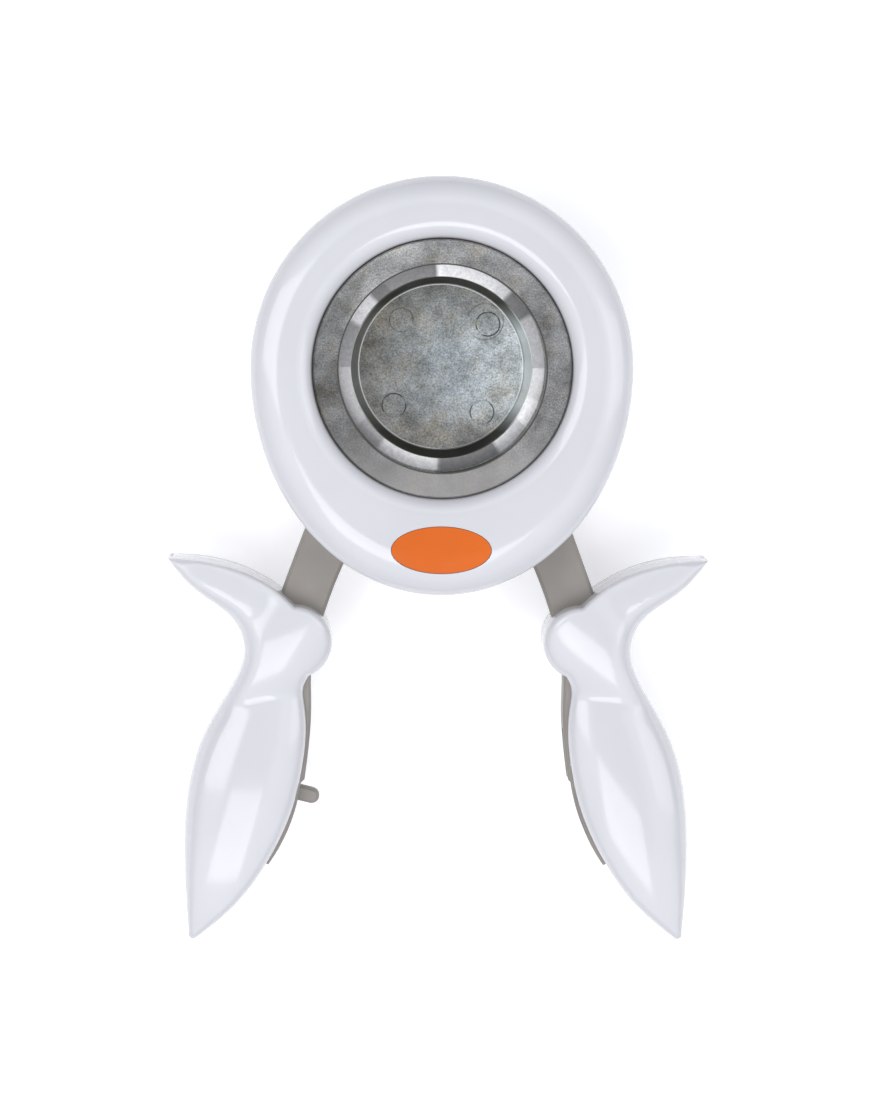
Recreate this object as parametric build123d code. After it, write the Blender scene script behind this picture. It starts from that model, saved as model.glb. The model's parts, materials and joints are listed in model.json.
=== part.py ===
from build123d import *
from math import atan, cos, radians, sin
import os

# Squeeze-type craft punch that cuts a round disc out of paper or card. It lies on its back cover with the
# die ring up. Two levers turn about upright pins in the head. Squeezing them drives two inclined cams under
# the punch carrier, which lifts the punch through the paper throat and into the die.
# Millimetres. Origin: where the die axis meets the resting face. +Z is the stroke, -Y is towards the handles.

# ---- driving dimensions ----------------------------------------------------------------------------------
CUT_DIAMETER = 50.8
HEAD_R = 47.0  # half width of the head
HEAD_TAIL = 56.0  # from the die axis to the head's lower end
TAIL = HEAD_TAIL / HEAD_R  # every head outline is a half disc and a half ellipse this much longer
SQUEEZE_DEG = 22.0
STROKE = 4.0
PIVOT = (-20.0, -24.0)  # left lever's pin; the right one mirrors it
PIN_R = 2.5
RUN = 0.05  # radial clearance of a running fit
GAP = 0.15  # clearance between parts that only pass or nest

# ---- levels, from the resting face up --------------------------------------------------------------------
Z_FLOOR = (8.0, 12.0)  # frame's floor plate
Z_RIM = 29.0  # back cover's top edge, and the frame's rim starts
Z_GUIDE = (33.0, 37.0)  # guide plate
Z_DIE = 39.5  # cutting face of the die plate; the paper throat lies under it
Z_FLANGE = 41.7
Z_FACE = 44.5  # face of the die ring
Z_CREST = 45.8  # highest line of the front cover
Z_PUNCH = (27.0, 36.6)
Z_PUNCH_FLOOR = 30.8
Z_CARRIER = (23.5, 27.0)
Z_BLADE = (15.0, 21.0)  # lever between the head and the grip
Z_CORE = (13.5, 22.5)  # lever inside the grip
Z_PART = 18.0  # where the two grip shells meet
Z_BOSS = (13.0, 23.0)  # lever's hub
Z_SECTOR = (13.0, 16.0)  # lever's inner end, which carries the cam

# ---- head ------------------------------------------------------------------------------------------------
PUNCH_R = CUT_DIAMETER / 2
BORE_R = PUNCH_R + RUN
RING_R = 31.7
WINDOW_R = 32.1
LIP_R, LIP_DROP = 34.9, 3.3  # the front cover's rounded edge round the window
CREST_R = 38.5
FLANGE_R = 43.5
GUIDE_R = 46.3
COVER_R = 46.0
WALL = 2.2
FRAME_R = (35.8, 38.0)
SPACER_Y = -31.0  # the throat ends here
DECK_Y = -31.0
BADGE_Y, BADGE_A, BADGE_B = -44.4, 12.4, 5.9
STAKES = [(-27.2, 27.2), (27.2, 27.2), (-35.0, -18.0), (35.0, -18.0)]
DIE_SCREWS = [(-25.0, -36.5), (25.0, -36.5), (-10.0, -47.0), (10.0, -47.0)]
COVER_SCREWS = [(-22.0, 17.0), (22.0, 17.0), (0.0, -33.0)]

# ---- punch -----------------------------------------------------------------------------------------------
RECESS_R = (20.6, 22.4)  # at the recess floor and at the cutting edge
MARKS = [(-9.9, 11.5), (11.6, 10.6), (-11.6, -9.7), (10.3, -11.3)]
MARK_R = 3.1
SHEAR_DEPTH, SHEAR_FLAT = 0.9, 8.8
CARRIER_R = 26.3
SPRINGS = [(30.0 * cos(radians(a)), 30.0 * sin(radians(a))) for a in (45, 135, 200, 340)]
SPRING_Z = (25.5, 35.5)
SPRING_R, WIRE_R, SPRING_TURNS = 2.1, 0.4, 4.5

# ---- cam and follower ------------------------------------------------------------------------------------
FOLLOWER = (-18.0, 0.0)
CAM_REACH = 24.0  # pivot to follower
CAM_MID = 74.0  # direction of the cam's middle, seen from the pivot, in degrees
CAM_MID_Z = 19.6
CAM_SLOPE = STROKE / (2 * CAM_REACH * sin(radians(SQUEEZE_DEG / 2)))
CAM_TOP_Z = 22.4
CAM_HALF_WIDTH = 3.3

# ---- grips (left one) ------------------------------------------------------------------------------------
WING_TIP = (-68.0, -48.6)
NOTCH = (-36.1, -60.6)
LOBE, LOBE_R = (-35.8, -69.8), 9.1
LOBE_END = (-32.5, -78.4)
GRIP_SCREWS = [(-38.4, -70.3), (-41.5, -88.1), (-44.0, -121.7)]
LATCH_PIN = (-39.3, -97.0)
LATCH_Z = (16.3, 19.7)
LATCH_R = 1.95
KEEPER = (-34.6, -101.1)  # mirrored into the right grip
KEEPER_R = 0.8
SHELL = 2.2


def disc(r, z0, z1, x=0.0, y=0.0):
    """Upright cylinder between two heights."""
    return Pos(x, y, z0) * Cylinder(r, z1 - z0, align=(Align.CENTER, Align.CENTER, Align.MIN))


def block(x0, x1, y0, y1, z0, z1):
    """Box between two corners."""
    return Pos((x0 + x1) / 2, (y0 + y1) / 2, (z0 + z1) / 2) * Box(x1 - x0, y1 - y0, z1 - z0)


def slab(face, z0, z1):
    """Flat face extruded between two heights."""
    return extrude(Pos(0, 0, z0) * face, z1 - z0, dir=(0, 0, 1))


def egg(r, z0, z1):
    """Slab with the head's outline."""
    top = CenterArc((0, 0), r, 0, 180)
    low = EllipticalCenterArc((0, 0), r, r * TAIL, 180, arc_size=180)
    return slab(make_face([top, low]), z0, z1)


def egg_spin(edges):
    """Profile in the XZ plane spun about Z, with its -Y half stretched to the head's outline."""
    whole = revolve(make_face(edges), Axis.Z)
    far = whole & block(-90, 90, 0, 90, -10, 90)
    near = scale(whole, by=(1, TAIL, 1)) & block(-90, 90, -90, 0, -10, 90)
    return far + near


def softened(part, size):
    """Part with its top and bottom rims chamfered."""
    levels = part.edges().group_by(Axis.Z)
    return chamfer(levels[0] + levels[-1], size)


def mirror_x(part):
    """Right-hand twin of a left-hand part."""
    return mirror(part, Plane.YZ)


def countersunk_screw(x, y, z_head, length, up=True, r=1.2, head_r=2.3):
    """Countersunk screw with a cross recess; its head's face is at z_head and it points down if up."""
    depth = head_r - r
    shank = disc(r, -length, 0) + Pos(0, 0, -depth / 2) * Cone(r, head_r, depth)
    for turn in (0, 90):
        shank -= Rot(0, 0, turn) * Box(2.4, 0.55, 1.6)
    return Pos(x, y, z_head) * (shank if up else Rot(180, 0, 0) * shank)


def screw_hole(x, y, z_head, length, up=True, r=1.2, head_r=2.3):
    """Clearance space of the same screw."""
    depth = head_r - r
    hole = disc(r + GAP / 2, -length - 0.5, 0.5)
    hole += Pos(0, 0, -depth / 2 + 0.05) * Cone(r + GAP, head_r + GAP, depth)
    hole += disc(head_r + GAP, 0, 6)
    return Pos(x, y, z_head) * (hole if up else Rot(180, 0, 0) * hole)


# ---- head parts ------------------------------------------------------------------------------------------
def cover_dome(drop=0.0):
    """Solid under the front cover's outer surface, lowered by drop."""
    rim_z, low_z, top_z = Z_DIE + 1.2, Z_DIE, Z_CREST - drop
    centre_z = top_z - 1.4
    rim = EllipticalCenterArc((CREST_R, rim_z), HEAD_R - CREST_R, top_z - rim_z, 0, arc_size=90)
    crown = Spline((CREST_R, top_z), (0, centre_z), tangents=[(-1, 0), (-1, 0)])
    flat = [
        rim,
        crown,
        Line((0, centre_z), (0, low_z)),
        Line((0, low_z), (HEAD_R - 0.9, low_z)),
        Spline((HEAD_R - 0.9, low_z), (HEAD_R, rim_z), tangents=[(1, 0), (0, 1)]),
    ]
    return egg_spin([Plane.XZ.location * e for e in flat])


def badge_seat(margin=0.0):
    """Upright elliptical prism of the badge."""
    oval = Pos(0, BADGE_Y) * Ellipse(BADGE_A - margin, BADGE_B - margin)
    return slab(oval, Z_CREST - 1.7, Z_CREST + 1)


def front_cover():
    """White cover round the die ring, with a rounded window, a badge seat and four stakes."""
    lip_z = Z_CREST - LIP_DROP
    lip = EllipticalCenterArc((LIP_R, lip_z), LIP_R - WINDOW_R, LIP_DROP, 180, arc_size=-90)
    cutter = [
        lip,
        Line((LIP_R, Z_CREST), (LIP_R, Z_CREST + 2)),
        Line((LIP_R, Z_CREST + 2), (0, Z_CREST + 2)),
        Line((0, Z_CREST + 2), (0, Z_DIE - 1)),
        Line((0, Z_DIE - 1), (WINDOW_R, Z_DIE - 1)),
        Line((WINDOW_R, Z_DIE - 1), (WINDOW_R, lip_z)),
    ]
    window = revolve(make_face([Plane.XZ.location * e for e in cutter]), Axis.Z)
    cover = cover_dome() - window - badge_seat()
    cover -= egg(FLANGE_R + GAP, Z_DIE - 1, Z_FLANGE + GAP)
    cover -= disc(41.5, Z_FLANGE, Z_CREST - 2.6) - disc(WINDOW_R + 1.9, Z_FLANGE, Z_CREST)
    for x, y in STAKES:
        cover += disc(1.5, Z_DIE + 0.4, Z_CREST - 2.4, x, y)
    return cover


def badge():
    """Oval badge, set a little below the cover's surface."""
    return (cover_dome(0.15) & badge_seat(GAP)) & block(-20, 20, -60, -30, Z_CREST - 1.6, Z_CREST)


def die_plate():
    """Die-cast plate: the raised die ring and the flange that carries the front cover."""
    plate = egg(FLANGE_R, Z_DIE, Z_FLANGE) + disc(RING_R, Z_DIE, Z_FACE)
    plate = chamfer(plate.edges().filter_by(GeomType.CIRCLE).group_by(Axis.Z)[-1], 0.35)
    plate -= disc(BORE_R, Z_DIE - 1, Z_FACE + 1)
    for x, y in STAKES:
        plate -= disc(1.5 + GAP, Z_DIE - 1, Z_FLANGE + 1, x, y)
    for x, y in DIE_SCREWS:
        plate -= screw_hole(x, y, Z_FLANGE, 14)
    return plate


def throat_spacer():
    """Plate behind the throat that sets its height."""
    spacer = egg(FLANGE_R, Z_GUIDE[1], Z_DIE) & block(-60, 60, -60, SPACER_Y, 30, 45)
    for x, y in DIE_SCREWS:
        spacer -= screw_hole(x, y, Z_FLANGE, 14)
    return spacer


def guide_plate():
    """Stripper plate that guides the punch, with spring pockets and the pivot pins' upper bosses."""
    plate = egg(GUIDE_R, *Z_GUIDE)
    plate = chamfer(plate.edges().group_by(Axis.Z)[-1], 0.6)
    for side in (-1, 1):
        plate += disc(4.2, Z_BOSS[1] + 1, Z_GUIDE[0], -side * PIVOT[0], PIVOT[1])
        plate -= disc(PIN_R, Z_BOSS[1], Z_GUIDE[0] + 2.5, -side * PIVOT[0], PIVOT[1])
    plate -= disc(BORE_R, Z_GUIDE[0] - 1, Z_GUIDE[1] + 1)
    for x, y in SPRINGS:
        plate -= disc(3.0, Z_GUIDE[0] - 1, SPRING_Z[1], x, y)
    for x, y in DIE_SCREWS:
        plate -= screw_hole(x, y, Z_FLANGE, 14)
    return plate


def exit_space():
    """Space that the left lever's blade sweeps where it leaves the head."""
    swept = Polygon((-12.2, -20), (-27.8, -20), (-33.6, -36), (-44.0, -64), (-12.2, -64), align=None)
    return slab(swept, Z_BLADE[0] - 1, Z_BLADE[1] + 1)


def frame():
    """Grey chassis: floor, wall, rim and the deck that the die screws hold."""
    body = egg(FRAME_R[1], Z_FLOOR[0], Z_GUIDE[0]) + egg(COVER_R + 0.1, Z_RIM, Z_GUIDE[0])
    body -= egg(FRAME_R[0], Z_FLOOR[1], Z_GUIDE[0] + 1)
    body += egg(FRAME_R[1], Z_RIM - 2, Z_GUIDE[0]) & block(-60, 60, -60, DECK_Y, 20, 40)
    body -= exit_space() + mirror_x(exit_space())
    for side in (1, -1):
        body -= disc(PIN_R, Z_FLOOR[0] - 1, Z_FLOOR[1] + 1, side * PIVOT[0], PIVOT[1])
    for x, y in COVER_SCREWS:
        body += disc(3.6, Z_FLOOR[1], Z_FLOOR[1] + 6, x, y)
        body -= disc(1.3, Z_FLOOR[0] - 1, Z_FLOOR[1] + 5, x, y)
    for x, y in DIE_SCREWS:
        body -= screw_hole(x, y, Z_FLANGE, 14)
    return body


def bowl(flat_r, waist_r, top_r, z0, z_waist=12.0, z_top=Z_RIM):
    """Solid bowl with the head's outline: flat foot, rounded corner and tapered wall."""
    slope = (top_r - waist_r, z_top - z_waist)
    flat = [
        Line((0, z0), (flat_r, z0)),
        Spline((flat_r, z0), (waist_r, z_waist), tangents=[(1, 0), slope]),
        Line((waist_r, z_waist), (top_r, z_top)),
        Line((top_r, z_top), (0, z_top)),
        Line((0, z_top), (0, z0)),
    ]
    return egg_spin([Plane.XZ.location * e for e in flat])


def back_cover():
    """White bowl that the punch rests on, with lever exits and screw bosses."""
    cover = bowl(31.0, 42.6, COVER_R, 0.0) - bowl(30.0, 42.6 - WALL, COVER_R - WALL, WALL)
    for x, y in COVER_SCREWS:
        cover += disc(4.2, 1.0, Z_FLOOR[0], x, y)
        cover -= disc(3.0, -1, 4.0, x, y) + disc(1.5, 3, Z_FLOOR[0] + 1, x, y)
    return cover - exit_space() - mirror_x(exit_space())


def cover_screws():
    """Three screws that hold the back cover to the frame."""
    length = Z_FLOOR[1] + 4 - 4.0
    made = []
    for x, y in COVER_SCREWS:
        head = disc(2.6, 2.2, 4.0, x, y)
        for turn in (0, 90):
            head -= Pos(x, y, 2.2) * Rot(0, 0, turn) * Box(3.0, 0.7, 1.6)
        made.append(head + disc(1.3, 4.0, 4.0 + length, x, y))
    return made


def die_screws():
    """Four screws through die plate, spacer and guide plate into the frame's deck."""
    return [countersunk_screw(x, y, Z_FLANGE, 13.5) for x, y in DIE_SCREWS]


def pivot_pin():
    """Left lever's pin, from the frame's floor to the guide plate."""
    x, y = PIVOT
    return disc(PIN_R, Z_FLOOR[0], Z_GUIDE[0] + 2.5, x, y) + disc(3.8, Z_FLOOR[0] - 1.4, Z_FLOOR[0], x, y)


def thrust_washer():
    """Washer under the left lever's hub."""
    x, y = PIVOT
    return disc(6.0, Z_FLOOR[1], Z_BOSS[0] - 0.05, x, y) - disc(PIN_R + 0.1, 10, 14, x, y)


# ---- punch parts -----------------------------------------------------------------------------------------
def shear_cutter(turn):
    """Radial trapezoid that leaves two sloping facets and a flat in the punch's cutting edge."""
    half_pitch = PUNCH_R * sin(radians(45))
    low, high = Z_PUNCH[1] - SHEAR_DEPTH, Z_PUNCH[1]
    extra = SHEAR_DEPTH * 0.6
    run = half_pitch - SHEAR_FLAT / 2
    side = Polygon(
        (-SHEAR_FLAT / 2, low),
        (SHEAR_FLAT / 2, low),
        (half_pitch + run * 0.6, high + extra),
        (-half_pitch - run * 0.6, high + extra),
        align=None,
    )
    return Rot(0, 0, turn) * extrude(Plane.YZ * side, 40)


def punch():
    """Die-cast male punch: a cup with a ground cutting edge and four ejector marks in its floor."""
    low, high = Z_PUNCH
    recess = Pos(0, 0, (Z_PUNCH_FLOOR + high) / 2) * Cone(*RECESS_R, high - Z_PUNCH_FLOOR)
    body = disc(PUNCH_R, low, high) - recess - disc(RECESS_R[1], high, high + 1)
    body = fillet(body.edges().filter_by(GeomType.CIRCLE).group_by(Axis.Z)[1], 0.5)
    for turn in (45, 135, 225, 315):
        body -= shear_cutter(turn)
    for x, y in MARKS:
        groove = disc(MARK_R, Z_PUNCH_FLOOR - 0.15, Z_PUNCH_FLOOR + 1, x, y)
        body -= groove - disc(MARK_R - 0.3, Z_PUNCH_FLOOR - 1, Z_PUNCH_FLOOR + 1, x, y)
        body -= disc(1.2, low - 1, low + 2.6, x, y)
    return body


def punch_carrier():
    """Moulded plate under the punch, with ears for the return springs and holes for the followers."""
    plate = disc(CARRIER_R, *Z_CARRIER)
    for x, y in SPRINGS:
        plate += disc(3.6, *Z_CARRIER, x, y)
        plate += disc(3.6, *Z_CARRIER, x * 0.9, y * 0.9)
    for x, y in SPRINGS:
        plate -= disc(2.9, SPRING_Z[0], Z_CARRIER[1] + 1, x, y)
    for side in (-1, 1):
        plate -= disc(PIN_R, Z_CARRIER[0] - 1, Z_CARRIER[1] - 1, side * FOLLOWER[0], FOLLOWER[1])
    for x, y in MARKS:
        plate -= screw_hole(x, y, Z_CARRIER[0], 5, up=False)
    return plate


def punch_screws():
    """Four screws up through the carrier into the punch."""
    return [countersunk_screw(x, y, Z_CARRIER[0], 5, up=False) for x, y in MARKS]


def follower():
    """Round-ended steel pin that rides on the left cam."""
    x, y = FOLLOWER
    slope = atan(CAM_SLOPE)
    offset = CAM_REACH * sin(radians(SQUEEZE_DEG / 2 + 0.24))
    centre_z = CAM_MID_Z - CAM_SLOPE * offset + PIN_R / cos(slope) + GAP
    return Pos(x, y, centre_z) * Sphere(PIN_R) + disc(PIN_R, centre_z, Z_CARRIER[1] - 1, x, y)


def return_spring(x, y):
    """Compression spring that pushes the carrier, and so the levers, back."""
    height = SPRING_Z[1] - SPRING_Z[0] - 2 * WIRE_R
    path = Helix(height / SPRING_TURNS, height, SPRING_R, center=(x, y, SPRING_Z[0] + WIRE_R))
    section = Plane(origin=path @ 0, z_dir=path % 0) * Circle(WIRE_R)
    return sweep(section, path, is_frenet=True)


# ---- lever parts (left one) ------------------------------------------------------------------------------
def core_face():
    """Outline of the lever: blade, then the spine that shows along the grip's inner edge."""
    inner_top = Spline((-13.8, -26.0), (-19.0, -39.9), (-24.8, -52.5), (-29.3, -65.1), (-31.9, -77.7),
                       (-31.9, -88.1), (-32.7, -99.0), (-33.5, -105.2))
    step = Line((-33.5, -105.2), (-34.4, -106.0))
    inner_low = Spline((-34.4, -106.0), (-38.1, -119.2), (-42.6, -127.1))
    end = Line((-42.6, -127.1), (-47.7, -124.8))
    outer = Spline((-47.7, -124.8), (-48.7, -111.2), (-47.3, -94.4), (-44.4, -79.7), (-42.4, -67.2),
                   (-37.7, -52.5), (-32.2, -37.8), (-26.2, -22.5))
    close = Line((-26.2, -22.5), (-13.8, -26.0))
    return make_face([inner_top, step, inner_low, end, outer, close])


def lever():
    """Grey lever: hub, blade, cam sector and the spine inside the grip, with the latch slot."""
    x, y = PIVOT
    face = core_face()
    body = softened(slab(face, *Z_BLADE), 0.8) + disc(6.5, *Z_BOSS, x, y)
    body += softened(slab(face, *Z_CORE), 0.6) & block(-80, 0, -140, -67.7, 0, 40)
    sector = Polygon(
        (0, 0), *[(28.6 * cos(radians(a)), 28.6 * sin(radians(a))) for a in (50, 62, 74, 86, 98)], align=None
    )
    body += slab(Pos(x, y) * sector, *Z_SECTOR)
    body -= disc(PIN_R + RUN + 1.0, 5, 30, x, y)
    for sx, sy in GRIP_SCREWS:
        body -= disc(1.6, 5, 30, sx, sy)
    return body


def latch_slot():
    """Slot in the lever's inner edge that the latch folds into and the other lever's latch nose enters."""
    return block(-42.4, -20, -117, -92.4, LATCH_Z[0] - 0.25, LATCH_Z[1] + 0.25)


def pivot_bush():
    """Bush pressed into the left lever's hub."""
    x, y = PIVOT
    return disc(PIN_R + RUN + 1.0, *Z_BOSS, x, y) - disc(PIN_R + RUN, 5, 30, x, y)


def cam():
    """Inclined cam on the left lever's inner end."""
    low_z = Z_SECTOR[1]
    low_t = (low_z + 0.2 - CAM_MID_Z) / CAM_SLOPE
    high_t = (CAM_TOP_Z - CAM_MID_Z) / CAM_SLOPE
    side = Polygon((low_t, low_z), (10.0, low_z), (10.0, CAM_TOP_Z), (high_t, CAM_TOP_Z),
                   (low_t, low_z + 0.2), align=None)
    wedge = extrude(Plane.XZ * side, CAM_HALF_WIDTH, both=True)
    place = Pos(*PIVOT) * Rot(0, 0, CAM_MID) * Pos(CAM_REACH, 0) * Rot(0, 0, -90)
    return place * wedge


def faceted(face, amount, count=72):
    """Face offset by amount, with its edge redrawn as straight facets."""
    edge = offset(face, amount).face().outer_wire()
    return make_face(Polyline(*[edge @ (i / count) for i in range(count)], close=True))


def grip_face():
    """Outline of the white grip shells: wing, lobe and handle."""
    tail = (-61.1, -145.7)
    heel = (-62.7, -144.1)
    edges = [
        Spline(WING_TIP, (-59.1, -49.4), (-48.8, -52.1), (-40.3, -56.9), NOTCH),
        ThreePointArc(NOTCH, (LOBE[0] + LOBE_R, LOBE[1]), LOBE_END),
        Spline(LOBE_END, (-33.9, -81.2), (-33.3, -90.5), (-34.7, -107.3), (-39.0, -120.0), (-47.8, -134.1),
               tail),
        ThreePointArc(tail, (-62.3, -145.5), heel),
        Spline(heel, (-63.6, -128.8), (-63.0, -109.0), (-58.7, -93.5), (-51.3, -80.4), (-48.7, -71.9),
               (-51.4, -64.4), (-61.1, -56.5), WING_TIP),
    ]
    return make_face(edges)


def pillow(x, y, turn, long_r, wide_r, high_r, shrink=0.0):
    """Half-height ellipsoid that crowns one part of the grip, centred on the parting plane."""
    ball = scale(Sphere(1), by=(long_r - shrink, wide_r - shrink, high_r - shrink))
    return Pos(x, y, Z_PART) * Rot(0, 0, turn) * ball


def crown(shrink=0.0):
    """Union of the pillows that give the grip its crowned surface and the crease under the lobe."""
    body = pillow(-49.2, -111.2, 74.0, 46.0, 17.5, 12.0, shrink)
    body += pillow(-40.0, -70.3, 0.0, 17.0, 14.0, 11.6, shrink)
    body += pillow(-53.3, -57.2, -28.8, 27.0, 11.0, 10.0, shrink)
    return body


def grip_pair():
    """Front and back shells of the left grip."""
    solid = slab(grip_face(), Z_PART - 14, Z_PART + 14) & crown()
    hollow = slab(faceted(grip_face(), -SHELL), Z_PART - 14, Z_PART + 14) & crown(SHELL)
    cores = slab(faceted(core_face(), 2 * GAP), Z_CORE[0] - GAP, Z_CORE[1] + GAP)
    shells = solid - hollow
    for x, y in GRIP_SCREWS:
        shells += disc(3.6, Z_PART - 9, Z_PART + 9, x, y) & solid
    shells -= cores
    front = shells & block(-90, 0, -150, 0, Z_PART, 60)
    back = shells & block(-90, 0, -150, 0, -20, Z_PART)
    for x, y in GRIP_SCREWS:
        front -= disc(1.3, Z_PART - 1, Z_PART + 8, x, y)
        back -= disc(1.5, 0, 30, x, y) + disc(2.7, -5, Z_PART - 8, x, y)
    return front, back


def grip_screws():
    """Three screws that clamp the grip's shells to the lever."""
    made = []
    for x, y in GRIP_SCREWS:
        head = disc(2.4, Z_PART - 9.6, Z_PART - 8, x, y)
        for turn in (0, 90):
            head -= Pos(x, y, Z_PART - 9.6) * Rot(0, 0, turn) * Box(2.8, 0.6, 1.4)
        made.append(head + disc(1.3, Z_PART - 8, Z_PART + 7.5, x, y))
    return made


def latch():
    """Latch lever with a round nose that shows at the left grip's inner edge."""
    bend, nose = (-38.1, -108.2), (-31.7, -109.8)
    face = Pos(*LATCH_PIN) * Circle(2.6)
    face += make_hull([*(Pos(*LATCH_PIN) * Circle(2.0)).edges(), *(Pos(*bend) * Circle(LATCH_R)).edges()])
    face += make_hull([*(Pos(*bend) * Circle(LATCH_R)).edges(), *(Pos(*nose) * Circle(LATCH_R)).edges()])
    body = softened(slab(face, *LATCH_Z), 0.7)
    return body - disc(1.3, 10, 30, *LATCH_PIN)


def latch_pin():
    """Pin that the latch turns on, held in the left lever."""
    return disc(1.25, Z_CORE[0] + 0.5, Z_CORE[1] - 0.5, *LATCH_PIN)


def keeper_pin():
    """Pin across the right lever's slot that the latch nose catches."""
    return disc(KEEPER_R, Z_CORE[0] + 0.5, Z_CORE[1] - 0.5, -KEEPER[0], KEEPER[1])


# ---- export ----------------------------------------------------------------------------------------------
def main():
    """Builds every node and writes one STEP each."""
    parts = {
        "front_cover": front_cover(),
        "badge": badge(),
        "die_plate": die_plate(),
        "throat_spacer": throat_spacer(),
        "guide_plate": guide_plate(),
        "frame": frame(),
        "back_cover": back_cover(),
        "cover_screws": cover_screws(),
        "die_screws": die_screws(),
        "punch": punch(),
        "punch_carrier": punch_carrier(),
        "punch_screws": punch_screws(),
    }
    for number, (x, y) in enumerate(SPRINGS, start=1):
        parts[f"return_spring_{number}"] = return_spring(x, y)
    front, back = grip_pair()
    body = lever()
    left = {
        "pivot_pin": pivot_pin(),
        "thrust_washer": thrust_washer(),
        "pivot_bush": pivot_bush(),
        "follower": follower(),
        "cam": cam(),
        "grip_front": front,
        "grip_back": back,
        "grip_screws": grip_screws(),
    }
    for name, part in left.items():
        twin = [mirror_x(p) for p in part] if isinstance(part, list) else mirror_x(part)
        parts["left_" + name] = part
        parts["right_" + name] = twin
    slotted = body - latch_slot()
    parts["left_lever"] = slotted - disc(1.25, 5, 30, *LATCH_PIN)
    parts["right_lever"] = mirror_x(slotted - disc(KEEPER_R, 5, 30, *KEEPER))
    parts["latch"] = latch()
    parts["latch_pin"] = latch_pin()
    parts["latch_keeper"] = keeper_pin()
    os.makedirs("parts", exist_ok=True)
    for name, part in parts.items():
        whole = Compound(children=part) if isinstance(part, list) else part
        export_step(whole, f"parts/{name}.step")


main()
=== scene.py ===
import json
import math

import bmesh
import bpy
import numpy as np
from mathutils import Matrix, Vector, geometry


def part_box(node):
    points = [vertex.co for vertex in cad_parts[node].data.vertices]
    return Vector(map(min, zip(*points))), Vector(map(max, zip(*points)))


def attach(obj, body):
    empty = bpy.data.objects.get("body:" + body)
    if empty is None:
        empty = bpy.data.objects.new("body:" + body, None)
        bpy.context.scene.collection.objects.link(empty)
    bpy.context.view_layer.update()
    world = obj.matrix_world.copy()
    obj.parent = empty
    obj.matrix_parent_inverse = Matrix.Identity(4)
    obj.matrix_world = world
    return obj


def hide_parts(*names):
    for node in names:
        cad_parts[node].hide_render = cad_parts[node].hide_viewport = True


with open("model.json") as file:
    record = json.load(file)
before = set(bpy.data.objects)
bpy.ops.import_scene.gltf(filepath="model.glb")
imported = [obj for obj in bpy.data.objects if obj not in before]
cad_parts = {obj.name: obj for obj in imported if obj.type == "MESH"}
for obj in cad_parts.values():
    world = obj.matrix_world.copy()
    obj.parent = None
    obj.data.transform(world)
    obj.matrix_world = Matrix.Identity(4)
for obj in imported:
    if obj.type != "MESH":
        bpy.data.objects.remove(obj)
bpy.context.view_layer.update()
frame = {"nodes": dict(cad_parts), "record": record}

# Round craft punch, lying on its back cover with the die ring up, seen from a little above the upper left.
# Shapes are worked out in millimetres and written in metres, in the CAD frame.

MM = 0.001
nodes = frame["nodes"]
scene = bpy.context.scene

# ---- sizes, in millimetres -------------------------------------------------------------------------------
PART_Z = 18.0  # the two shells of a grip meet here
COVER_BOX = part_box("front_cover")
HEAD_R = COVER_BOX[1][1] / MM
TAIL = -COVER_BOX[0][1] / COVER_BOX[1][1]
COVER_LOW = COVER_BOX[0][2] / MM
CREST_Z = COVER_BOX[1][2] / MM
CREST_R = 38.5
WINDOW_R = 31.85
LIP_R = 36.9
LIP_DROP = 3.3
CROWN_DIP = 1.4  # how far the crown would sink by the die axis, if the window did not cut it off
# the cover's foot: how far in and up its corner is rounded, its wall, and where its inside starts
FOOT_IN = 0.9
FOOT_UP = 1.2
FOOT_WALL = 3.3
INSIDE_UP = 2.4
SEAT_DEPTH = 1.7  # of the badge's seat
BADGE_CENTRE = (0.0, -44.4)
BADGE_HALF = (12.4, 5.9)

WING_TIP = (-67.95, -48.65)
NOTCH = (-36.1, -60.6)
LOBE = (-35.8, -69.8)
LOBE_R = 9.1
LOBE_END = (-32.5, -78.4)
EDGE_RADII = (0.9, 1.8, 2.0, 1.5, 4.0)  # top, lobe, inner side, tip and outer side of a grip
TAIL_TIP = (-61.1, -145.65)
HEEL = (-62.65, -144.1)
SCREWS = [(-38.4, -70.3), (-41.5, -88.1), (-44.0, -121.7)]
# space that the latch needs inside the left grip, and its nose inside the right one
SLOT_X = (-45.0, -28.0)
SLOT_Y = (-117.5, -92.0)
SLOT_Z = (15.7, 20.3)
# centre, radius and strength of the marks that the ejector pins left in the punch
EJECTOR_MARKS = [
    (-9.9, 11.5, 2.95, 0.6), (11.6, 10.6, 2.95, 1.0), (-11.6, -9.7, 2.95, 1.0), (10.3, -11.3, 2.95, 0.9),
    (10.9, 11.2, 4.5, 0.5),
]
# Painted tones of the cast ring and of the ground cutting edge, by bearing from -180 degrees. They stand in
# for the way studio light falls on the metal, and stay where they are when the camera moves.
RING_PAINTED_LIGHT = [
    (-180, 0.13), (-140, 0.16), (-105, 0.26), (-60, 0.26), (-20, 0.21), (10, 0.20), (45, 0.22), (80, 0.28),
    (115, 0.34), (140, 0.30), (162, 0.17), (180, 0.13),
]
EDGE_PAINTED_REFLECTIONS = [
    (-180, 0.46), (-129, 0.46), (-127, 0.86), (-93, 0.90), (-91, 0.26), (-56, 0.30), (-54, 0.84), (-20, 0.80),
    (-18, 0.62), (30, 0.62), (32, 0.24), (47, 0.26), (49, 0.84), (92, 0.90), (94, 0.22), (134, 0.28),
    (136, 0.90), (152, 0.84), (154, 0.36), (180, 0.46),
]
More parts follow.
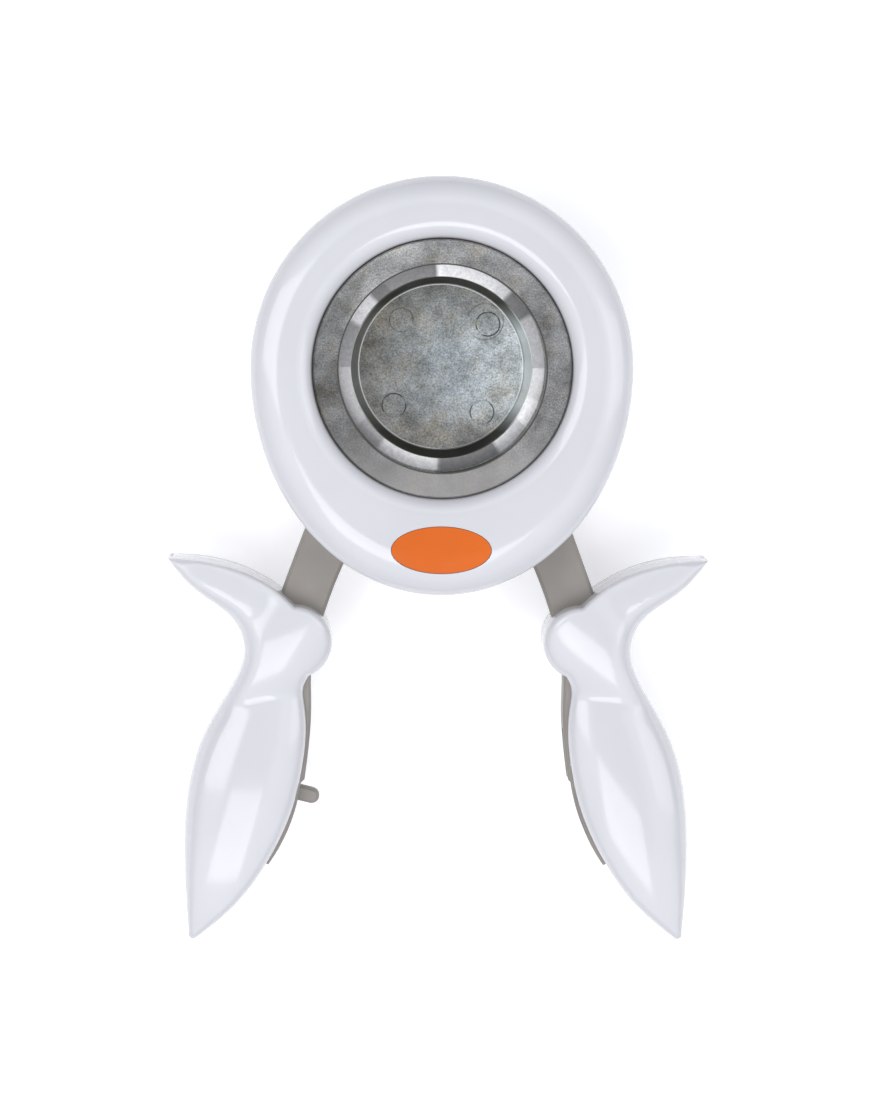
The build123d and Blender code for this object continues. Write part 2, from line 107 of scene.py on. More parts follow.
# centre, turn in degrees, half length, half width and height of each rounded mass of a grip
PILLOWS = [
    (-50.0, -113.0, 74.0, 47.0, 19.5, 11.4),
    (-38.5, -67.0, 52.0, 35.0, 18.5, 11.0),
    (-53.3, -57.2, -28.8, 33.0, 15.5, 10.2),
]
PILLOW_BLEND = 3.0  # how sharply the rounded masses meet, per millimetre
# screw wells in the back shells, and the groove between the two shells of a grip
WELL_R = 2.7
WELL_DEPTH = 8.0
WELL_SIDES = 40
GROOVE = 0.22
SHELL_GAP = 0.02
GROOVE_TOP = 0.18
MESH_PITCH = 1.1  # spacing of the points inside a grip's outline
# edges that bend by more than this many degrees stay crisp
COVER_SHARP = 35.0
GRIP_SHARP = 50.0


# ---- materials -------------------------------------------------------------------------------------------
def fill_ramp(ramp, stops):
    """Sets the stops of a colour ramp, each a position and a colour."""
    while len(ramp.elements) < len(stops):
        ramp.elements.new(0.5)
    for stop, (position, colour) in zip(ramp.elements, stops):
        stop.position = position
        stop.color = (*colour, 1)


class Nodes:
    """Small helper that builds one node material."""

    def __init__(self, name):
        self.material = bpy.data.materials.new(name)
        self.material.use_nodes = True
        self.tree = self.material.node_tree
        self.shader = self.tree.nodes["Principled BSDF"]
        self.coords = self.add("ShaderNodeTexCoord").outputs["Object"]

    def add(self, kind, **settings):
        node = self.tree.nodes.new(kind)
        for key, value in settings.items():
            setattr(node, key, value)
        return node

    def link(self, source, target):
        self.tree.links.new(source, target)

    def feed(self, item, socket):
        """Sets a fixed number or colour on a socket, or links another socket to it."""
        if isinstance(item, (int, float)):
            socket.default_value = item
        elif isinstance(item, tuple):
            socket.default_value = (*item, 1.0)
        else:
            self.link(item, socket)

    def mapped(self, scale):
        """Object coordinates times a scale for each axis."""
        node = self.add("ShaderNodeMapping")
        node.inputs["Scale"].default_value = scale
        self.link(self.coords, node.inputs["Vector"])
        return node.outputs["Vector"]

    def noise(self, size_mm, detail=4.0, rough=0.55, stretch=(1, 1, 1)):
        """Noise with features about size_mm across."""
        node = self.add("ShaderNodeTexNoise")
        node.inputs["Scale"].default_value = 1.0
        node.inputs["Detail"].default_value = detail
        node.inputs["Roughness"].default_value = rough
        k = 1.0 / (size_mm * MM)
        self.link(self.mapped(tuple(k * s for s in stretch)), node.inputs["Vector"])
        return node.outputs["Fac"]

    def remap(self, value, low, high, to_low, to_high):
        node = self.add("ShaderNodeMapRange")
        for key, number in zip(("From Min", "From Max", "To Min", "To Max"), (low, high, to_low, to_high)):
            node.inputs[key].default_value = number
        self.link(value, node.inputs["Value"])
        return node.outputs["Result"]

    def maths(self, operation, a, b=None):
        node = self.add("ShaderNodeMath", operation=operation)
        self.feed(a, node.inputs[0])
        if b is not None:
            self.feed(b, node.inputs[1])
        return node.outputs[0]

    def mix(self, factor, a, b, blend="MIX"):
        """Colour a where factor is 0 and b where it is 1; each is a fixed colour or a socket."""
        node = self.add("ShaderNodeMix", data_type="RGBA", blend_type=blend)
        colours = {k.name: k for k in node.inputs if k.type == "RGBA"}
        self.feed(factor, node.inputs["Factor"])
        self.feed(a, colours["A"])
        self.feed(b, colours["B"])
        return [k for k in node.outputs if k.type == "RGBA"][0]

    def scaled(self, colour, tint):
        """Colour times tint."""
        return self.mix(1.0, colour, tint, blend="MULTIPLY")

    def band(self, value, low_mm, high_mm, soft_mm=0.15):
        """1 where value lies between two sizes, fading over soft_mm outside them."""
        up = self.remap(value, (low_mm - soft_mm) * MM, low_mm * MM, 0.0, 1.0)
        down = self.remap(value, high_mm * MM, (high_mm + soft_mm) * MM, 1.0, 0.0)
        return self.maths("MULTIPLY", up, down)

    def place(self):
        """Position along x, y and z, and distance from the die axis."""
        split = self.add("ShaderNodeSeparateXYZ")
        self.link(self.coords, split.inputs[0])
        x, y, z = split.outputs
        squares = [self.maths("MULTIPLY", k, k) for k in (x, y)]
        return x, y, z, self.maths("SQRT", self.maths("ADD", *squares))

    def round_tone(self, x, y, tones):
        """Grey level that changes with the bearing round the die axis."""
        turn = self.remap(self.maths("ARCTAN2", y, x), -math.pi, math.pi, 0.0, 1.0)
        node = self.add("ShaderNodeValToRGB")
        fill_ramp(node.color_ramp, [((degrees + 180) / 360, (level,) * 3) for degrees, level in tones])
        self.link(turn, node.inputs["Fac"])
        return node.outputs["Color"]

    def bump(self, height, strength, distance_mm):
        node = self.add("ShaderNodeBump")
        node.inputs["Strength"].default_value = strength
        node.inputs["Distance"].default_value = distance_mm * MM
        self.link(height, node.inputs["Height"])
        self.link(node.outputs["Normal"], self.shader.inputs["Normal"])

    def set(self, **values):
        for key, value in values.items():
            self.shader.inputs[key.replace("_", " ")].default_value = value


def plastic(name, low, high, rough, grain_mm, grain, coat=0.0, shine=0.5):
    """Moulded plastic: a slight tone drift, a fine surface grain and uneven gloss."""
    m = Nodes(name)
    tone = m.noise(18.0, detail=2.0)
    m.link(m.mix(m.remap(tone, 0.35, 0.65, 0.0, 1.0), low, high), m.shader.inputs["Base Color"])
    gloss = m.noise(5.0, detail=5.0, rough=0.6)
    m.link(m.remap(gloss, 0.3, 0.7, rough[0], rough[1]), m.shader.inputs["Roughness"])
    m.bump(m.noise(grain_mm, detail=3.0), grain, 0.05)
    m.set(IOR=1.5, Specular_IOR_Level=shine, Coat_Weight=coat, Coat_Roughness=0.08)
    return m.material


def punch_floor(m, cast, x, y):
    """Colour of the punch's cast floor: painted light and shade across it, and the rings that ejector pins
    leave.
    """
    # painted light and shade: the floor darker on the left and lighter on the right
    left_half = m.remap(x, -17.0 * MM, 3.0 * MM, 0.0, 1.0)
    right_half = m.remap(x, 3.0 * MM, 17.0 * MM, 0.0, 1.0)
    across = m.mix(left_half, (0.155, 0.152, 0.142), (0.245, 0.268, 0.282))
    across = m.mix(right_half, across, (0.46, 0.49, 0.50))
    # painted shade: the floor darker towards +Y and -Y
    outer = m.mix(m.remap(y, 6.0 * MM, 18.0 * MM, 0.0, 0.75), across, (0.19, 0.19, 0.178))
    outer = m.mix(m.remap(y, -17.0 * MM, -8.0 * MM, 0.75, 0.0), outer, (0.20, 0.19, 0.175))
    base = m.scaled(cast, outer)
    flat_place = m.add("ShaderNodeVectorMath", operation="MULTIPLY")
    m.link(m.coords, flat_place.inputs[0])
    flat_place.inputs[1].default_value = (1, 1, 0)
    breaks = m.remap(m.noise(3.0, detail=1.0), 0.38, 0.50, 0.25, 1.0)
    for mark_x, mark_y, mark_r, strength in EJECTOR_MARKS:
        apart = m.add("ShaderNodeVectorMath", operation="DISTANCE")
        m.link(flat_place.outputs[0], apart.inputs[0])
        apart.inputs[1].default_value = (mark_x * MM, mark_y * MM, 0)
        circle = m.band(apart.outputs["Value"], mark_r - 0.08, mark_r + 0.08)
        line = m.maths("MULTIPLY", circle, breaks)
        base = m.mix(m.maths("MULTIPLY", line, strength), base, (0.05, 0.05, 0.045))
    return base


def punch_recess_wall(m, base, x, y, radius):
    """Colour of the wall round the punch's floor, with painted light and shade, and a painted highlight along
    its foot.
    """
    # painted light and shade on the wall: darker on the left, lighter on the right, dark towards +Y and -Y
    painted_wall_light = m.mix(m.remap(x, -20.0 * MM, 20.0 * MM, 0.0, 1.0), (0.42, 0.43, 0.41), (0.90, 0.93, 0.92))
    steep = m.remap(m.maths("ABSOLUTE", y), 9.0 * MM, 16.0 * MM, 0.0, 1.0)
    painted_wall_light = m.mix(steep, painted_wall_light, (0.075, 0.078, 0.062))
    base = m.mix(m.band(radius, 20.75, 40.0, 0.1), base, painted_wall_light)
    # painted highlight along the corner between the floor and the wall
    return m.mix(m.maths("MULTIPLY", m.band(radius, 20.35, 20.65, 0.12), 0.6), base, (0.72, 0.74, 0.73))


def ground_edge(m, base, x, y, land):
    """Colour of the ground and slightly scratched cutting edge, where land is 1, with painted reflections
    round it.
    """
    scratches = m.remap(m.noise(0.9, detail=6.0, rough=0.85), 0.3, 0.7, 0.0, 1.0)
    worn = m.mix(scratches, (0.70, 0.70, 0.70), (1.14, 1.14, 1.14))
    # the scratches are wear; the tones round the edge are painted reflections
    return m.mix(land, base, m.scaled(worn, m.round_tone(x, y, EDGE_PAINTED_REFLECTIONS)))


def die_ring(m, cast, x, y, z, radius):
    """Colour of the cast die ring, with painted light and shade, and painted shade in its bore and on its
    outer step.
    """
    smooth = m.remap(y, -26.0 * MM, -12.0 * MM, 1.0, 0.0)
    cast = m.mix(m.maths("MULTIPLY", smooth, 0.75), cast, (1.02, 1.0, 0.97))
    # painted light and shade that change with the bearing round the ring
    base = m.scaled(cast, m.round_tone(x, y, RING_PAINTED_LIGHT))
    # painted shade in the bore and on its chamfer
    base = m.mix(m.remap(radius, 25.72 * MM, 25.86 * MM, 1.0, 0.0), base, (0.075, 0.075, 0.065))
    # painted shade on the step outside the ring, below its face
    step = m.remap(z, 43.9 * MM, 44.1 * MM, 1.0, 0.0)
    return m.mix(m.maths("MULTIPLY", m.band(radius, 31.5, 60.0, 0.1), step), base, (0.17, 0.16, 0.13))


def zinc(name, part):
    """As-cast zinc, mottled and finely grained; part is "punch", "die_plate" or "other"."""
    m = Nodes(name)
    x, y, z, radius = m.place()
    flow = m.noise(9.0, detail=6.0, rough=0.68)
    speck = m.noise(0.42, detail=4.0, rough=0.8)
    tint = m.noise(7.0, detail=5.0, rough=0.65)
    patches = m.mix(m.remap(flow, 0.36, 0.64, 0.0, 1.0), (0.60, 0.61, 0.59), (1.34, 1.37, 1.38))
    grain = m.mix(m.remap(speck, 0.32, 0.68, 0.0, 1.0), (0.42, 0.42, 0.41), (1.60, 1.60, 1.60))
    brown = m.mix(m.remap(tint, 0.48, 0.64, 0.0, 0.9), (1.0, 1.0, 1.0), (1.0, 0.92, 0.82))
    cast = m.scaled(m.scaled(patches, grain), brown)
    rough = m.remap(speck, 0.3, 0.7, 0.34, 0.54)
    height = m.maths("ADD", m.maths("MULTIPLY", speck, 0.7), flow)
    # the punch and the die plate get painted light, shade and reflections
    if part == "punch":
        land = m.maths("MULTIPLY", m.band(radius, 22.5, 40.0), m.band(z, 35.4, 60.0))
        base = punch_recess_wall(m, punch_floor(m, cast, x, y), x, y, radius)
        base = ground_edge(m, base, x, y, land)
        keep = m.maths("SUBTRACT", 1.0, land)
        rough = m.maths("ADD", m.maths("MULTIPLY", rough, keep), m.maths("MULTIPLY", land, 0.34))
        height = m.maths("MULTIPLY", height, m.maths("ADD", m.maths("MULTIPLY", keep, 0.8), 0.2))
    elif part == "die_plate":
        base = die_ring(m, cast, x, y, z, radius)
    else:
        base = m.scaled(cast, (0.38, 0.40, 0.40))
    m.link(base, m.shader.inputs["Base Color"])
    m.link(rough, m.shader.inputs["Roughness"])
    m.set(Metallic=0.9)
    m.bump(height, 0.35, 0.12)
    return m.material


def steel(name):
    """Bright zinc-plated steel with drawn lines."""
    m = Nodes(name)
    lines = m.noise(0.25, detail=3.0, stretch=(1.0, 1.0, 0.05))
    tone = m.mix(m.remap(lines, 0.3, 0.7, 0.0, 1.0), (0.42, 0.43, 0.45), (0.62, 0.63, 0.64))
    m.link(tone, m.shader.inputs["Base Color"])
    m.link(m.remap(lines, 0.3, 0.7, 0.22, 0.38), m.shader.inputs["Roughness"])
    m.set(Metallic=1.0)
    m.bump(lines, 0.15, 0.02)
    return m.material


WHITE = plastic("white_gloss", (0.70, 0.705, 0.735), (0.72, 0.725, 0.75), (0.10, 0.17), 1.4, 0.05, coat=0.4)
ORANGE = plastic("orange_badge", (0.72, 0.132, 0.001), (0.78, 0.146, 0.002), (0.38, 0.50), 0.5, 0.12,
                 shine=0.3)
GREY = plastic("taupe_grey", (0.285, 0.262, 0.235), (0.325, 0.300, 0.270), (0.38, 0.52), 0.35, 0.22)
NYLON = plastic("natural_nylon", (0.60, 0.58, 0.51), (0.68, 0.66, 0.60), (0.40, 0.55), 0.5, 0.15)
ZINC = zinc("cast_zinc", "other")
# the punch's and the die plate's zinc carry painted light, shade and reflections
OWN_ZINC = {"punch": zinc("cast_zinc_punch_painted_light", "punch"), "die_plate": zinc("cast_zinc_ring_painted_light", "die_plate")}
STEEL = steel("plated_steel")

BY_SLOT = {"white_plastic": WHITE, "orange_plastic": ORANGE, "grey_plastic": GREY, "cast_zinc": ZINC,
           "steel": STEEL, "nylon": NYLON}


def paint_cad_nodes():
    """Gives every CAD node its slot's procedural material."""
    for entry in frame["record"]["subparts"]:
        mesh = nodes[entry["node"]].data
        mesh.materials.clear()
        mesh.materials.append(OWN_ZINC.get(entry["node"]) or BY_SLOT[entry["material_slot"]])


# ---- mesh helpers ----------------------------------------------------------------------------------------
def mesh_from(name, bm):
    """Mesh in metres made from a bmesh in millimetres, which it uses up."""
    bmesh.ops.scale(bm, vec=(MM, MM, MM), verts=bm.verts)
    bmesh.ops.recalc_face_normals(bm, faces=bm.faces)
    mesh = bpy.data.meshes.new(name)
    bm.to_mesh(mesh)
    bm.free()
    return mesh


def soften(mesh, sharp):
    """Smooth shading, with edges bent by more than sharp degrees left crisp."""
    mesh.shade_smooth()
    mesh.set_sharp_from_angle(angle=math.radians(sharp))


def add_piece(name, bm, body, replaced, sharp):
    """Turns a bmesh in millimetres into a white piece that rides on body and replaces a CAD node."""
    mesh = mesh_from(name, bm)
    soften(mesh, sharp)
    mesh.materials.append(WHITE)
    piece = bpy.data.objects.new(name, mesh)
    scene.collection.objects.link(piece)
    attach(piece, body)
    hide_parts(replaced)
    return piece


def egg_reach(angle, r):
    """Distance from the die axis to the head outline of half width r, along angle."""
    c, s = math.cos(angle), math.sin(angle)
    return r if s >= 0 else r * TAIL / math.hypot(TAIL * c, s)


def crown_z(r):
    """Height of the front cover inside its crest line."""
    s = min(1.0, r / CREST_R)
    return CREST_Z - CROWN_DIP + CROWN_DIP * s * s * (3 - 2 * s)


def rings_to_bmesh(rings):
    """Closed tube of rings: each ring is a closed loop of points, and the last ring joins the first."""
    bm = bmesh.new()
    loops = [[bm.verts.new(p) for p in ring] for ring in rings]
    count = len(rings[0])
    for a, b in zip(loops, loops[1:] + loops[:1]):
        for i in range(count):
            j = (i + 1) % count
            bm.faces.new((a[i], a[j], b[j], b[i]))
    return bm


def front_cover():
    """White cover round the die: rounded rim, shallow crown, rolled lip and the badge's seat."""
    turns = 256
    angles = [2 * math.pi * k / turns for k in range(turns)]
    rim_z = COVER_LOW + FOOT_UP

    def ring(point_at):
        return [(r * math.cos(a), r * math.sin(a), z) for a in angles for r, z in (point_at(a),)]

    rings = [ring(lambda a: (egg_reach(a, HEAD_R - FOOT_WALL), COVER_LOW + INSIDE_UP)),
             ring(lambda a: (egg_reach(a, HEAD_R - FOOT_WALL), COVER_LOW)),
             ring(lambda a: (egg_reach(a, HEAD_R - FOOT_IN), COVER_LOW))]
    for k in (1, 2, 3):
        t = math.radians(30 * k)
        r, z = HEAD_R - FOOT_IN + FOOT_IN * math.sin(t), rim_z - FOOT_UP * math.cos(t)
        rings.append(ring(lambda a: (egg_reach(a, r), z)))
    for k in range(1, 25):
        t = math.radians(90 * k / 24)
        r, z = CREST_R + (HEAD_R - CREST_R) * math.cos(t), rim_z + (CREST_Z - rim_z) * math.sin(t)
        rings.append(ring(lambda a: (egg_reach(a, r), z)))
    for k in range(1, 11):
        def between(a, f=k / 10):
            r = LIP_R + (egg_reach(a, CREST_R) - LIP_R) * (1 - f)
            return r, crown_z(r * CREST_R / egg_reach(a, CREST_R))
        rings.append(ring(between))
    lip_low = CREST_Z - LIP_DROP
    for k in range(1, 17):
        t = math.radians(90 * k / 16)

        def lip(a):
            top = crown_z(LIP_R * CREST_R / egg_reach(a, CREST_R))
            return LIP_R - (LIP_R - WINDOW_R) * math.sin(t), lip_low + (top - lip_low) * math.cos(t)
        rings.append(ring(lip))
    rings.append(ring(lambda a: (WINDOW_R, COVER_LOW + INSIDE_UP)))
    cover = add_piece("front_cover_shell", rings_to_bmesh(rings), "head", "front_cover", COVER_SHARP)
    cut_seat(cover)


def carve(piece, bm, sharp):
    """Cuts the closed bmesh, in millimetres, out of a finished piece."""
    cutter = bpy.data.objects.new("cutter", mesh_from("cutter", bm))
    scene.collection.objects.link(cutter)
    knife = piece.modifiers.new("knife", "BOOLEAN")
    knife.object = cutter
    knife.operation = "DIFFERENCE"
    knife.solver = "EXACT"
    bpy.context.view_layer.update()
    result = bpy.data.meshes.new_from_object(piece.evaluated_get(bpy.context.evaluated_depsgraph_get()))
    piece.modifiers.clear()
    soften(result, sharp)
    piece.data = result
    bpy.data.objects.remove(cutter)


def prism(outline, low_z, high_z):
    """Upright closed prism over an outline, as a bmesh."""
    bm = bmesh.new()
    low = [bm.verts.new((x, y, low_z)) for x, y in outline]
    top = [bm.verts.new((x, y, high_z)) for x, y in outline]
    bm.faces.new(low)
    bm.faces.new(top)
    for i in range(len(outline)):
        j = (i + 1) % len(outline)
        bm.faces.new((low[i], low[j], top[j], top[i]))
    return bm


def cut_seat(cover):
    """Cuts the badge's oval seat out of the cover."""
    turns = [2 * math.pi * k / 96 for k in range(96)]
    (cx, cy), (rx, ry) = BADGE_CENTRE, BADGE_HALF
    oval = [(cx + rx * math.cos(t), cy + ry * math.sin(t)) for t in turns]
    carve(cover, prism(oval, CREST_Z - SEAT_DEPTH, CREST_Z + 2), COVER_SHARP)


def cut_latch_slot(shell, side):
    """Leaves room in a grip shell for the latch and its nose."""
    (far, near), (south, north) = SLOT_X, SLOT_Y
    box = [(-side * x, y) for x, y in ((far, south), (near, south), (near, north), (far, north))]
    carve(shell, prism(box, *SLOT_Z), GRIP_SHARP)


def smooth_curve(points, step=0.6):
    """Points about step apart on the curve of least bend through points (natural cubic spline)."""
    p = np.array(points, float)
    t = np.concatenate([[0], np.cumsum(np.linalg.norm(np.diff(p, axis=0), axis=1))])
    n, h = len(p), np.diff(t)
    a = np.eye(n)
    b = np.zeros((n, 2))
    for i in range(1, n - 1):
        a[i, i - 1:i + 2] = h[i - 1], 2 * (h[i - 1] + h[i]), h[i]
        b[i] = 6 * ((p[i + 1] - p[i]) / h[i] - (p[i] - p[i - 1]) / h[i - 1])
    m = np.linalg.solve(a, b)
    out = []
    for u in np.linspace(0, t[-1], max(3, int(round(t[-1] / step)) + 1)):
        i = min(n - 2, max(0, int(np.searchsorted(t, u)) - 1))
        x0, x1 = t[i + 1] - u, u - t[i]
        out.append((m[i] * x0 ** 3 + m[i + 1] * x1 ** 3) / (6 * h[i])
                   + (p[i] / h[i] - m[i] * h[i] / 6) * x0 + (p[i + 1] / h[i] - m[i + 1] * h[i] / 6) * x1)
    return out


def arc_points(start, through, end, step=0.6):
    """Points on the circle arc from start through a middle point to end."""
    (ax, ay), (bx, by), (cx, cy) = start, through, end
    d = 2 * (ax * (by - cy) + bx * (cy - ay) + cx * (ay - by))
    aa, bb, cc = ax * ax + ay * ay, bx * bx + by * by, cx * cx + cy * cy
    ox = (aa * (by - cy) + bb * (cy - ay) + cc * (ay - by)) / d
    oy = (aa * (cx - bx) + bb * (ax - cx) + cc * (bx - ax)) / d
    r = math.hypot(ax - ox, ay - oy)
    first, last = math.atan2(ay - oy, ax - ox), math.atan2(cy - oy, cx - ox)
    middle = math.atan2(by - oy, bx - ox)
    ccw = (middle - first) % (2 * math.pi) < (last - first) % (2 * math.pi)
    sweep = (last - first) % (2 * math.pi) if ccw else -((first - last) % (2 * math.pi))
    count = max(3, int(round(abs(sweep) * r / step)) + 1)
    angles = [first + sweep * k / (count - 1) for k in range(count)]
    return [np.array((ox + r * math.cos(a), oy + r * math.sin(a))) for a in angles]


def grip_outline():
    """Outline of the left grip, counter-clockwise, with the edge radius wanted at each point."""
    top = smooth_curve([WING_TIP, (-59.1, -49.4), (-48.8, -52.1), (-40.3, -56.9), NOTCH])
    lobe = arc_points(NOTCH, (LOBE[0] + LOBE_R, LOBE[1]), LOBE_END)
    inner = smooth_curve([LOBE_END, (-33.7, -80.9), (-33.6, -86.0), (-33.2, -93.6), (-33.8, -99.8),
                          (-34.9, -106.0), (-36.5, -112.1), (-39.0, -118.5), (-42.9, -125.9),
                          (-51.3, -137.2), TAIL_TIP])
    tip = arc_points(TAIL_TIP, (-62.3, -145.45), HEEL, 0.35)
    outer = smooth_curve([HEEL, (-63.6, -128.8), (-63.0, -109.0), (-58.7, -93.5), (-51.3, -80.4),
                          (-48.7, -71.9), (-51.4, -64.4), (-61.1, -56.5), WING_TIP])
    stretches = (top, lobe, inner, tip, outer)
    radii = [radius for radius, stretch in zip(EDGE_RADII, stretches) for _ in stretch]
    points = np.array([point for stretch in stretches for point in stretch])
    keep = [i for i in range(len(points)) if np.linalg.norm(points[i] - points[i - 1]) > 0.05]
    points, radii = points[keep][::-1], np.array(radii, float)[keep][::-1]
    window = 12
    soft = sum(np.roll(radii, k) for k in range(-window, window + 1)) / (2 * window + 1)
    near_tip = np.minimum(np.linalg.norm(points - WING_TIP, axis=1), np.linalg.norm(points - HEEL, axis=1))
    return points, np.minimum(soft, 1.2 + near_tip * 0.12)


def dome(p):
    """Height of the grip's crowned surface over the parting plane at points p."""
    heights = []
    for cx, cy, turn, long_r, wide_r, high in PILLOWS:
        c, s = math.cos(math.radians(turn)), math.sin(math.radians(turn))
        u = (p[:, 0] - cx) * c + (p[:, 1] - cy) * s
        v = (p[:, 1] - cy) * c - (p[:, 0] - cx) * s
        heights.append(high * np.sqrt(np.maximum(0.0, 1 - (u / long_r) ** 2 - (v / wide_r) ** 2)))
    total = sum(np.exp(PILLOW_BLEND * h) for h in heights)
    return np.log(total) / PILLOW_BLEND - 0.12


def distances(p, loop):
    """Distance from each point of p to the closed loop, and the index of the loop's nearest point."""
    a, b = loop, np.roll(loop, -1, axis=0)
    ab = b - a
    t = np.clip(((p[:, None] - a) * ab).sum(2) / (ab * ab).sum(1), 0, 1)
    gap = np.linalg.norm(p[:, None] - (a + t[..., None] * ab), axis=2)
    return gap.min(1), gap.argmin(1)


def inside(p, loop):
    """True for the points of p inside the closed loop."""
    x, y = p[:, 0][:, None], p[:, 1][:, None]
    ax, ay = loop[:, 0], loop[:, 1]
    bx, by = np.roll(ax, -1), np.roll(ay, -1)
    crosses = ((ay > y) != (by > y)) & (x < (bx - ax) * (y - ay) / (by - ay + 1e-12) + ax)
    return crosses.sum(1) % 2 == 1


def away_from(points, centres, reach):
    """The points that lie further than reach from every centre."""
    for centre in centres:
        points = points[np.linalg.norm(points - centre, axis=1) > reach]
    return points


def surface_points(loop, radii, inward, wells):
    """Points that carry a shell's surface: the outline, rows down its rounded edge, and an even grid."""
    rows = []
    for degrees in (18, 36, 54, 72, 90):
        depth = radii * (1 - math.cos(math.radians(degrees)))
        row = loop + inward * depth[:, None]
        gap, _ = distances(row, loop)
        rows.append(row[(gap > depth * 0.985 - 0.005) & inside(row, loop)])
    low, high = loop.min(0), loop.max(0)
    rise = MESH_PITCH * 0.866
    grid = np.array([(x + (row % 2) * MESH_PITCH / 2, low[1] + row * rise)
                     for row in range(int((high[1] - low[1]) / rise) + 1)
                     for x in np.arange(low[0], high[0], MESH_PITCH)])
    gap, nearest = distances(grid, loop)
    grid = away_from(grid[inside(grid, loop) & (gap > radii[nearest] + 0.5)], wells, WELL_R + 0.7)
    return np.concatenate([loop, away_from(np.concatenate([*rows, grid]), wells, WELL_R + 0.4)])


def join_rows(bm, upper, lower):
    """Closes the band between two rings of points."""
    for i in range(len(upper)):
        j = (i + 1) % len(upper)
        bm.faces.new((upper[i], upper[j], lower[j], lower[i]))


def grip_shell(side, sign):
    """One moulded shell of a grip. side is -1 for left and 1 for right, sign is 1 for front, -1 for back."""
    loop, radii = grip_outline()
    count = len(loop)
    along = np.roll(loop, -1, axis=0) - np.roll(loop, 1, axis=0)
    along /= np.linalg.norm(along, axis=1)[:, None]
    inward = np.stack([-along[:, 1], along[:, 0]], axis=1)
    wells = SCREWS if sign < 0 else []
    turns = [2 * math.pi * k / WELL_SIDES for k in range(WELL_SIDES)]
    ring = WELL_R * np.array([(math.cos(t), math.sin(t)) for t in turns])
    circles = [ring + well for well in wells]
    flat = surface_points(loop, radii, inward, wells)
    starts = [len(flat) + k * WELL_SIDES for k in range(len(wells))]
    flat = np.concatenate([flat, *circles])
    edges = [(i, (i + 1) % count) for i in range(count)]
    edges += [(start + i, start + (i + 1) % WELL_SIDES) for start in starts for i in range(WELL_SIDES)]
    out = geometry.delaunay_2d_cdt([Vector(p) for p in flat], edges, [list(range(count))], 1, 1e-5)
    where = {old: new for new, olds in enumerate(out[3]) for old in olds}
    p = np.array([tuple(v) for v in out[0]])
    gap, nearest = distances(p, loop)
    r = radii[nearest]
    fall = r * (1 - np.sqrt(np.maximum(0.0, 1 - (np.maximum(0.0, r - gap) / r) ** 2)))
    bm = bmesh.new()
    verts = [bm.verts.new((-side * x, y, PART_Z + sign * h)) for (x, y), h in zip(p, dome(p) - fall)]
    for corners in out[2]:
        middle = p[list(corners)].mean(0)
        if all(np.hypot(*(middle - s)) > WELL_R - 0.01 for s in wells):
            bm.faces.new([verts[i] for i in corners])
    rim = [verts[where[i]] for i in range(count)]
    low_row = [bm.verts.new((v.co.x, v.co.y, PART_Z + sign * GROOVE_TOP)) for v in rim]
    cap_row = [bm.verts.new((-side * x, y, PART_Z + sign * SHELL_GAP)) for x, y in loop + inward * GROOVE]
    join_rows(bm, rim, low_row)
    join_rows(bm, low_row, cap_row)
    bm.faces.new(cap_row)
    for start in starts:
        mouth = [verts[where[start + i]] for i in range(WELL_SIDES)]
        foot = [bm.verts.new((v.co.x, v.co.y, PART_Z - WELL_DEPTH)) for v in mouth]
        join_rows(bm, mouth, foot)
        bm.faces.new(foot)
    hand = "left" if side < 0 else "right"
    node = f"{hand}_grip_{'front' if sign > 0 else 'back'}"
    shell = add_piece(f"{node}_shell", bm, f"{hand}_handle", node, GRIP_SHARP)
    cut_latch_slot(shell, side)


# ---- studio ----------------------------------------------------------------------------------------------
def area_light(name, place, target, size, power):
    """Soft box of a given size in metres and power in watts, turned to a target."""
    data = bpy.data.lights.new(name, "AREA")
    data.shape = "RECTANGLE"
    data.size, data.size_y = size
    data.energy = power
    light = bpy.data.objects.new(name, data)
    light.location = place
    light.rotation_euler = (Vector(target) - Vector(place)).to_track_quat("-Z", "Y").to_euler()
    scene.collection.objects.link(light)


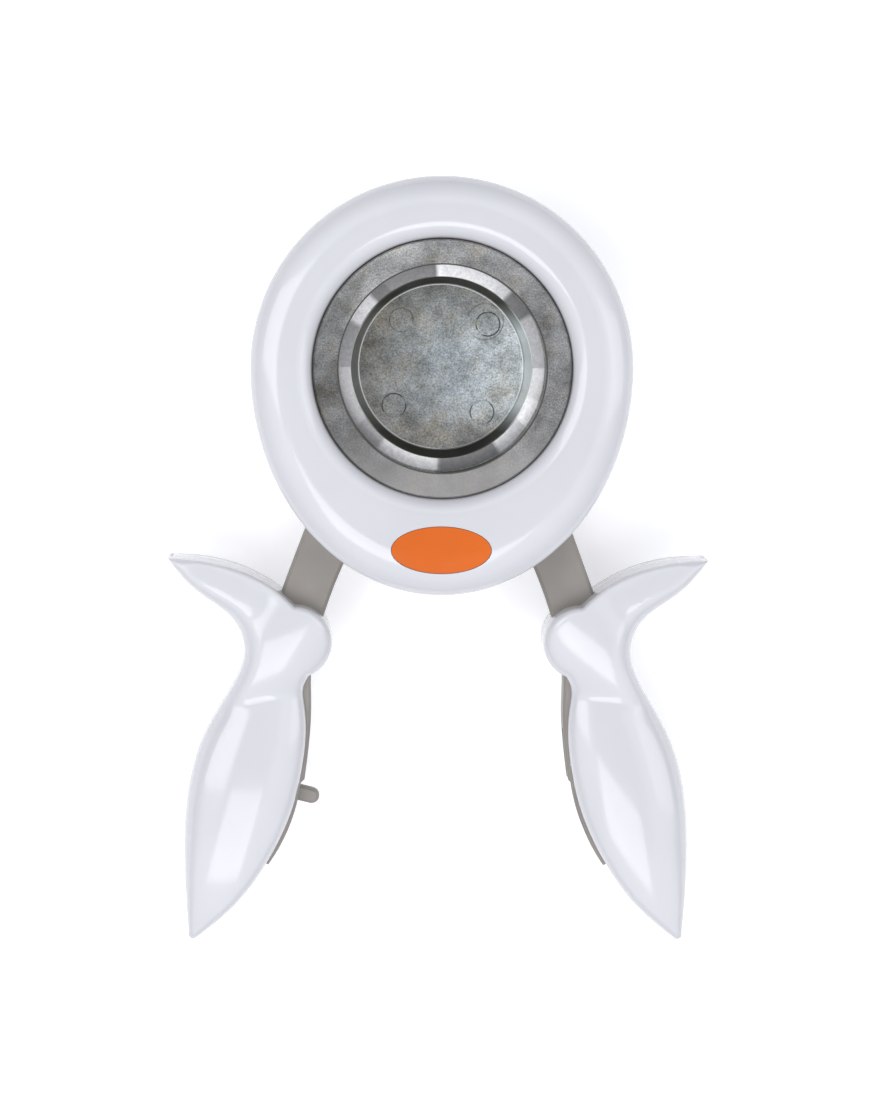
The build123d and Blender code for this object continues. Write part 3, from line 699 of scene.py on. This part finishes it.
def studio():
    """Pale floor, three soft boxes, and a surround with a bright band overhead that dims towards +Y."""
    bpy.ops.mesh.primitive_plane_add(size=6.0, location=(0, 0, -0.0002))
    floor = bpy.context.object
    floor.name = "floor"
    m = Nodes("studio_floor")
    m.link(m.mix(m.noise(60.0), (0.93, 0.93, 0.935), (0.95, 0.95, 0.955)), m.shader.inputs["Base Color"])
    m.set(Roughness=0.9, Specular_IOR_Level=0.1, Emission_Color=(1, 1, 1, 1), Emission_Strength=0.27)
    floor.data.materials.append(m.material)
    world = bpy.data.worlds.new("studio_world")
    world.use_nodes = True
    tree = world.node_tree
    spot = tree.nodes.new("ShaderNodeTexCoord")
    split = tree.nodes.new("ShaderNodeSeparateXYZ")
    ramp = tree.nodes.new("ShaderNodeValToRGB")
    tree.links.new(spot.outputs["Generated"], split.inputs[0])
    tree.links.new(split.outputs[2], ramp.inputs["Fac"])
    shade = tree.nodes.new("ShaderNodeMapRange")
    for key, number in (("From Min", 0.50), ("From Max", 0.85), ("To Min", 1.13), ("To Max", 0.16)):
        shade.inputs[key].default_value = number
    tree.links.new(split.outputs[1], shade.inputs["Value"])
    tree.links.new(shade.outputs["Result"], tree.nodes["Background"].inputs["Strength"])
    tree.links.new(ramp.outputs["Color"], tree.nodes["Background"].inputs["Color"])
    levels = ((0.0, 0.16), (0.5, 0.34), (0.75, 0.95), (0.93, 1.25), (0.965, 0.50), (1.0, 0.38))
    fill_ramp(ramp.color_ramp, [(height, (k * 0.97, k * 0.98, k * 1.04)) for height, k in levels])
    scene.world = world
    area_light("left_box", (-0.53, 0.10, 0.75), (0, -0.04, 0.03), (0.36, 0.60), 1.5)
    area_light("right_box", (0.64, 0.02, 0.64), (0, -0.04, 0.03), (0.34, 0.56), 0.8)
    area_light("top_box", (-0.06, -0.37, 1.0), (0, -0.10, 0.03), (0.50, 0.32), 1.5)


def camera():
    """Camera nearly overhead, leaning to the upper left, framed as the whole photograph."""
    place = Vector((-0.0271, 0.0385, 0.8945))
    towards = Vector((-0.0301, 0.0990, 1.0)).normalized()
    roll = 0.0077
    half_height = 0.1595  # of the frame, at one metre
    level = Vector((0, 1, 0)).cross(towards).normalized()
    upright = towards.cross(level)
    x_axis = level * math.cos(roll) + upright * math.sin(roll)
    y_axis = upright * math.cos(roll) - level * math.sin(roll)
    data = bpy.data.cameras.new("camera")
    data.sensor_fit = "VERTICAL"
    data.angle = 2 * math.atan(half_height)
    obj = bpy.data.objects.new("camera", data)
    obj.matrix_world = Matrix.Translation(place) @ Matrix((x_axis, y_axis, towards)).transposed().to_4x4()
    scene.collection.objects.link(obj)
    scene.camera = obj
    scene.view_settings.view_transform = "Standard"


paint_cad_nodes()
front_cover()
for side in (-1, 1):
    for sign in (1, -1):
        grip_shell(side, sign)
studio()
camera()
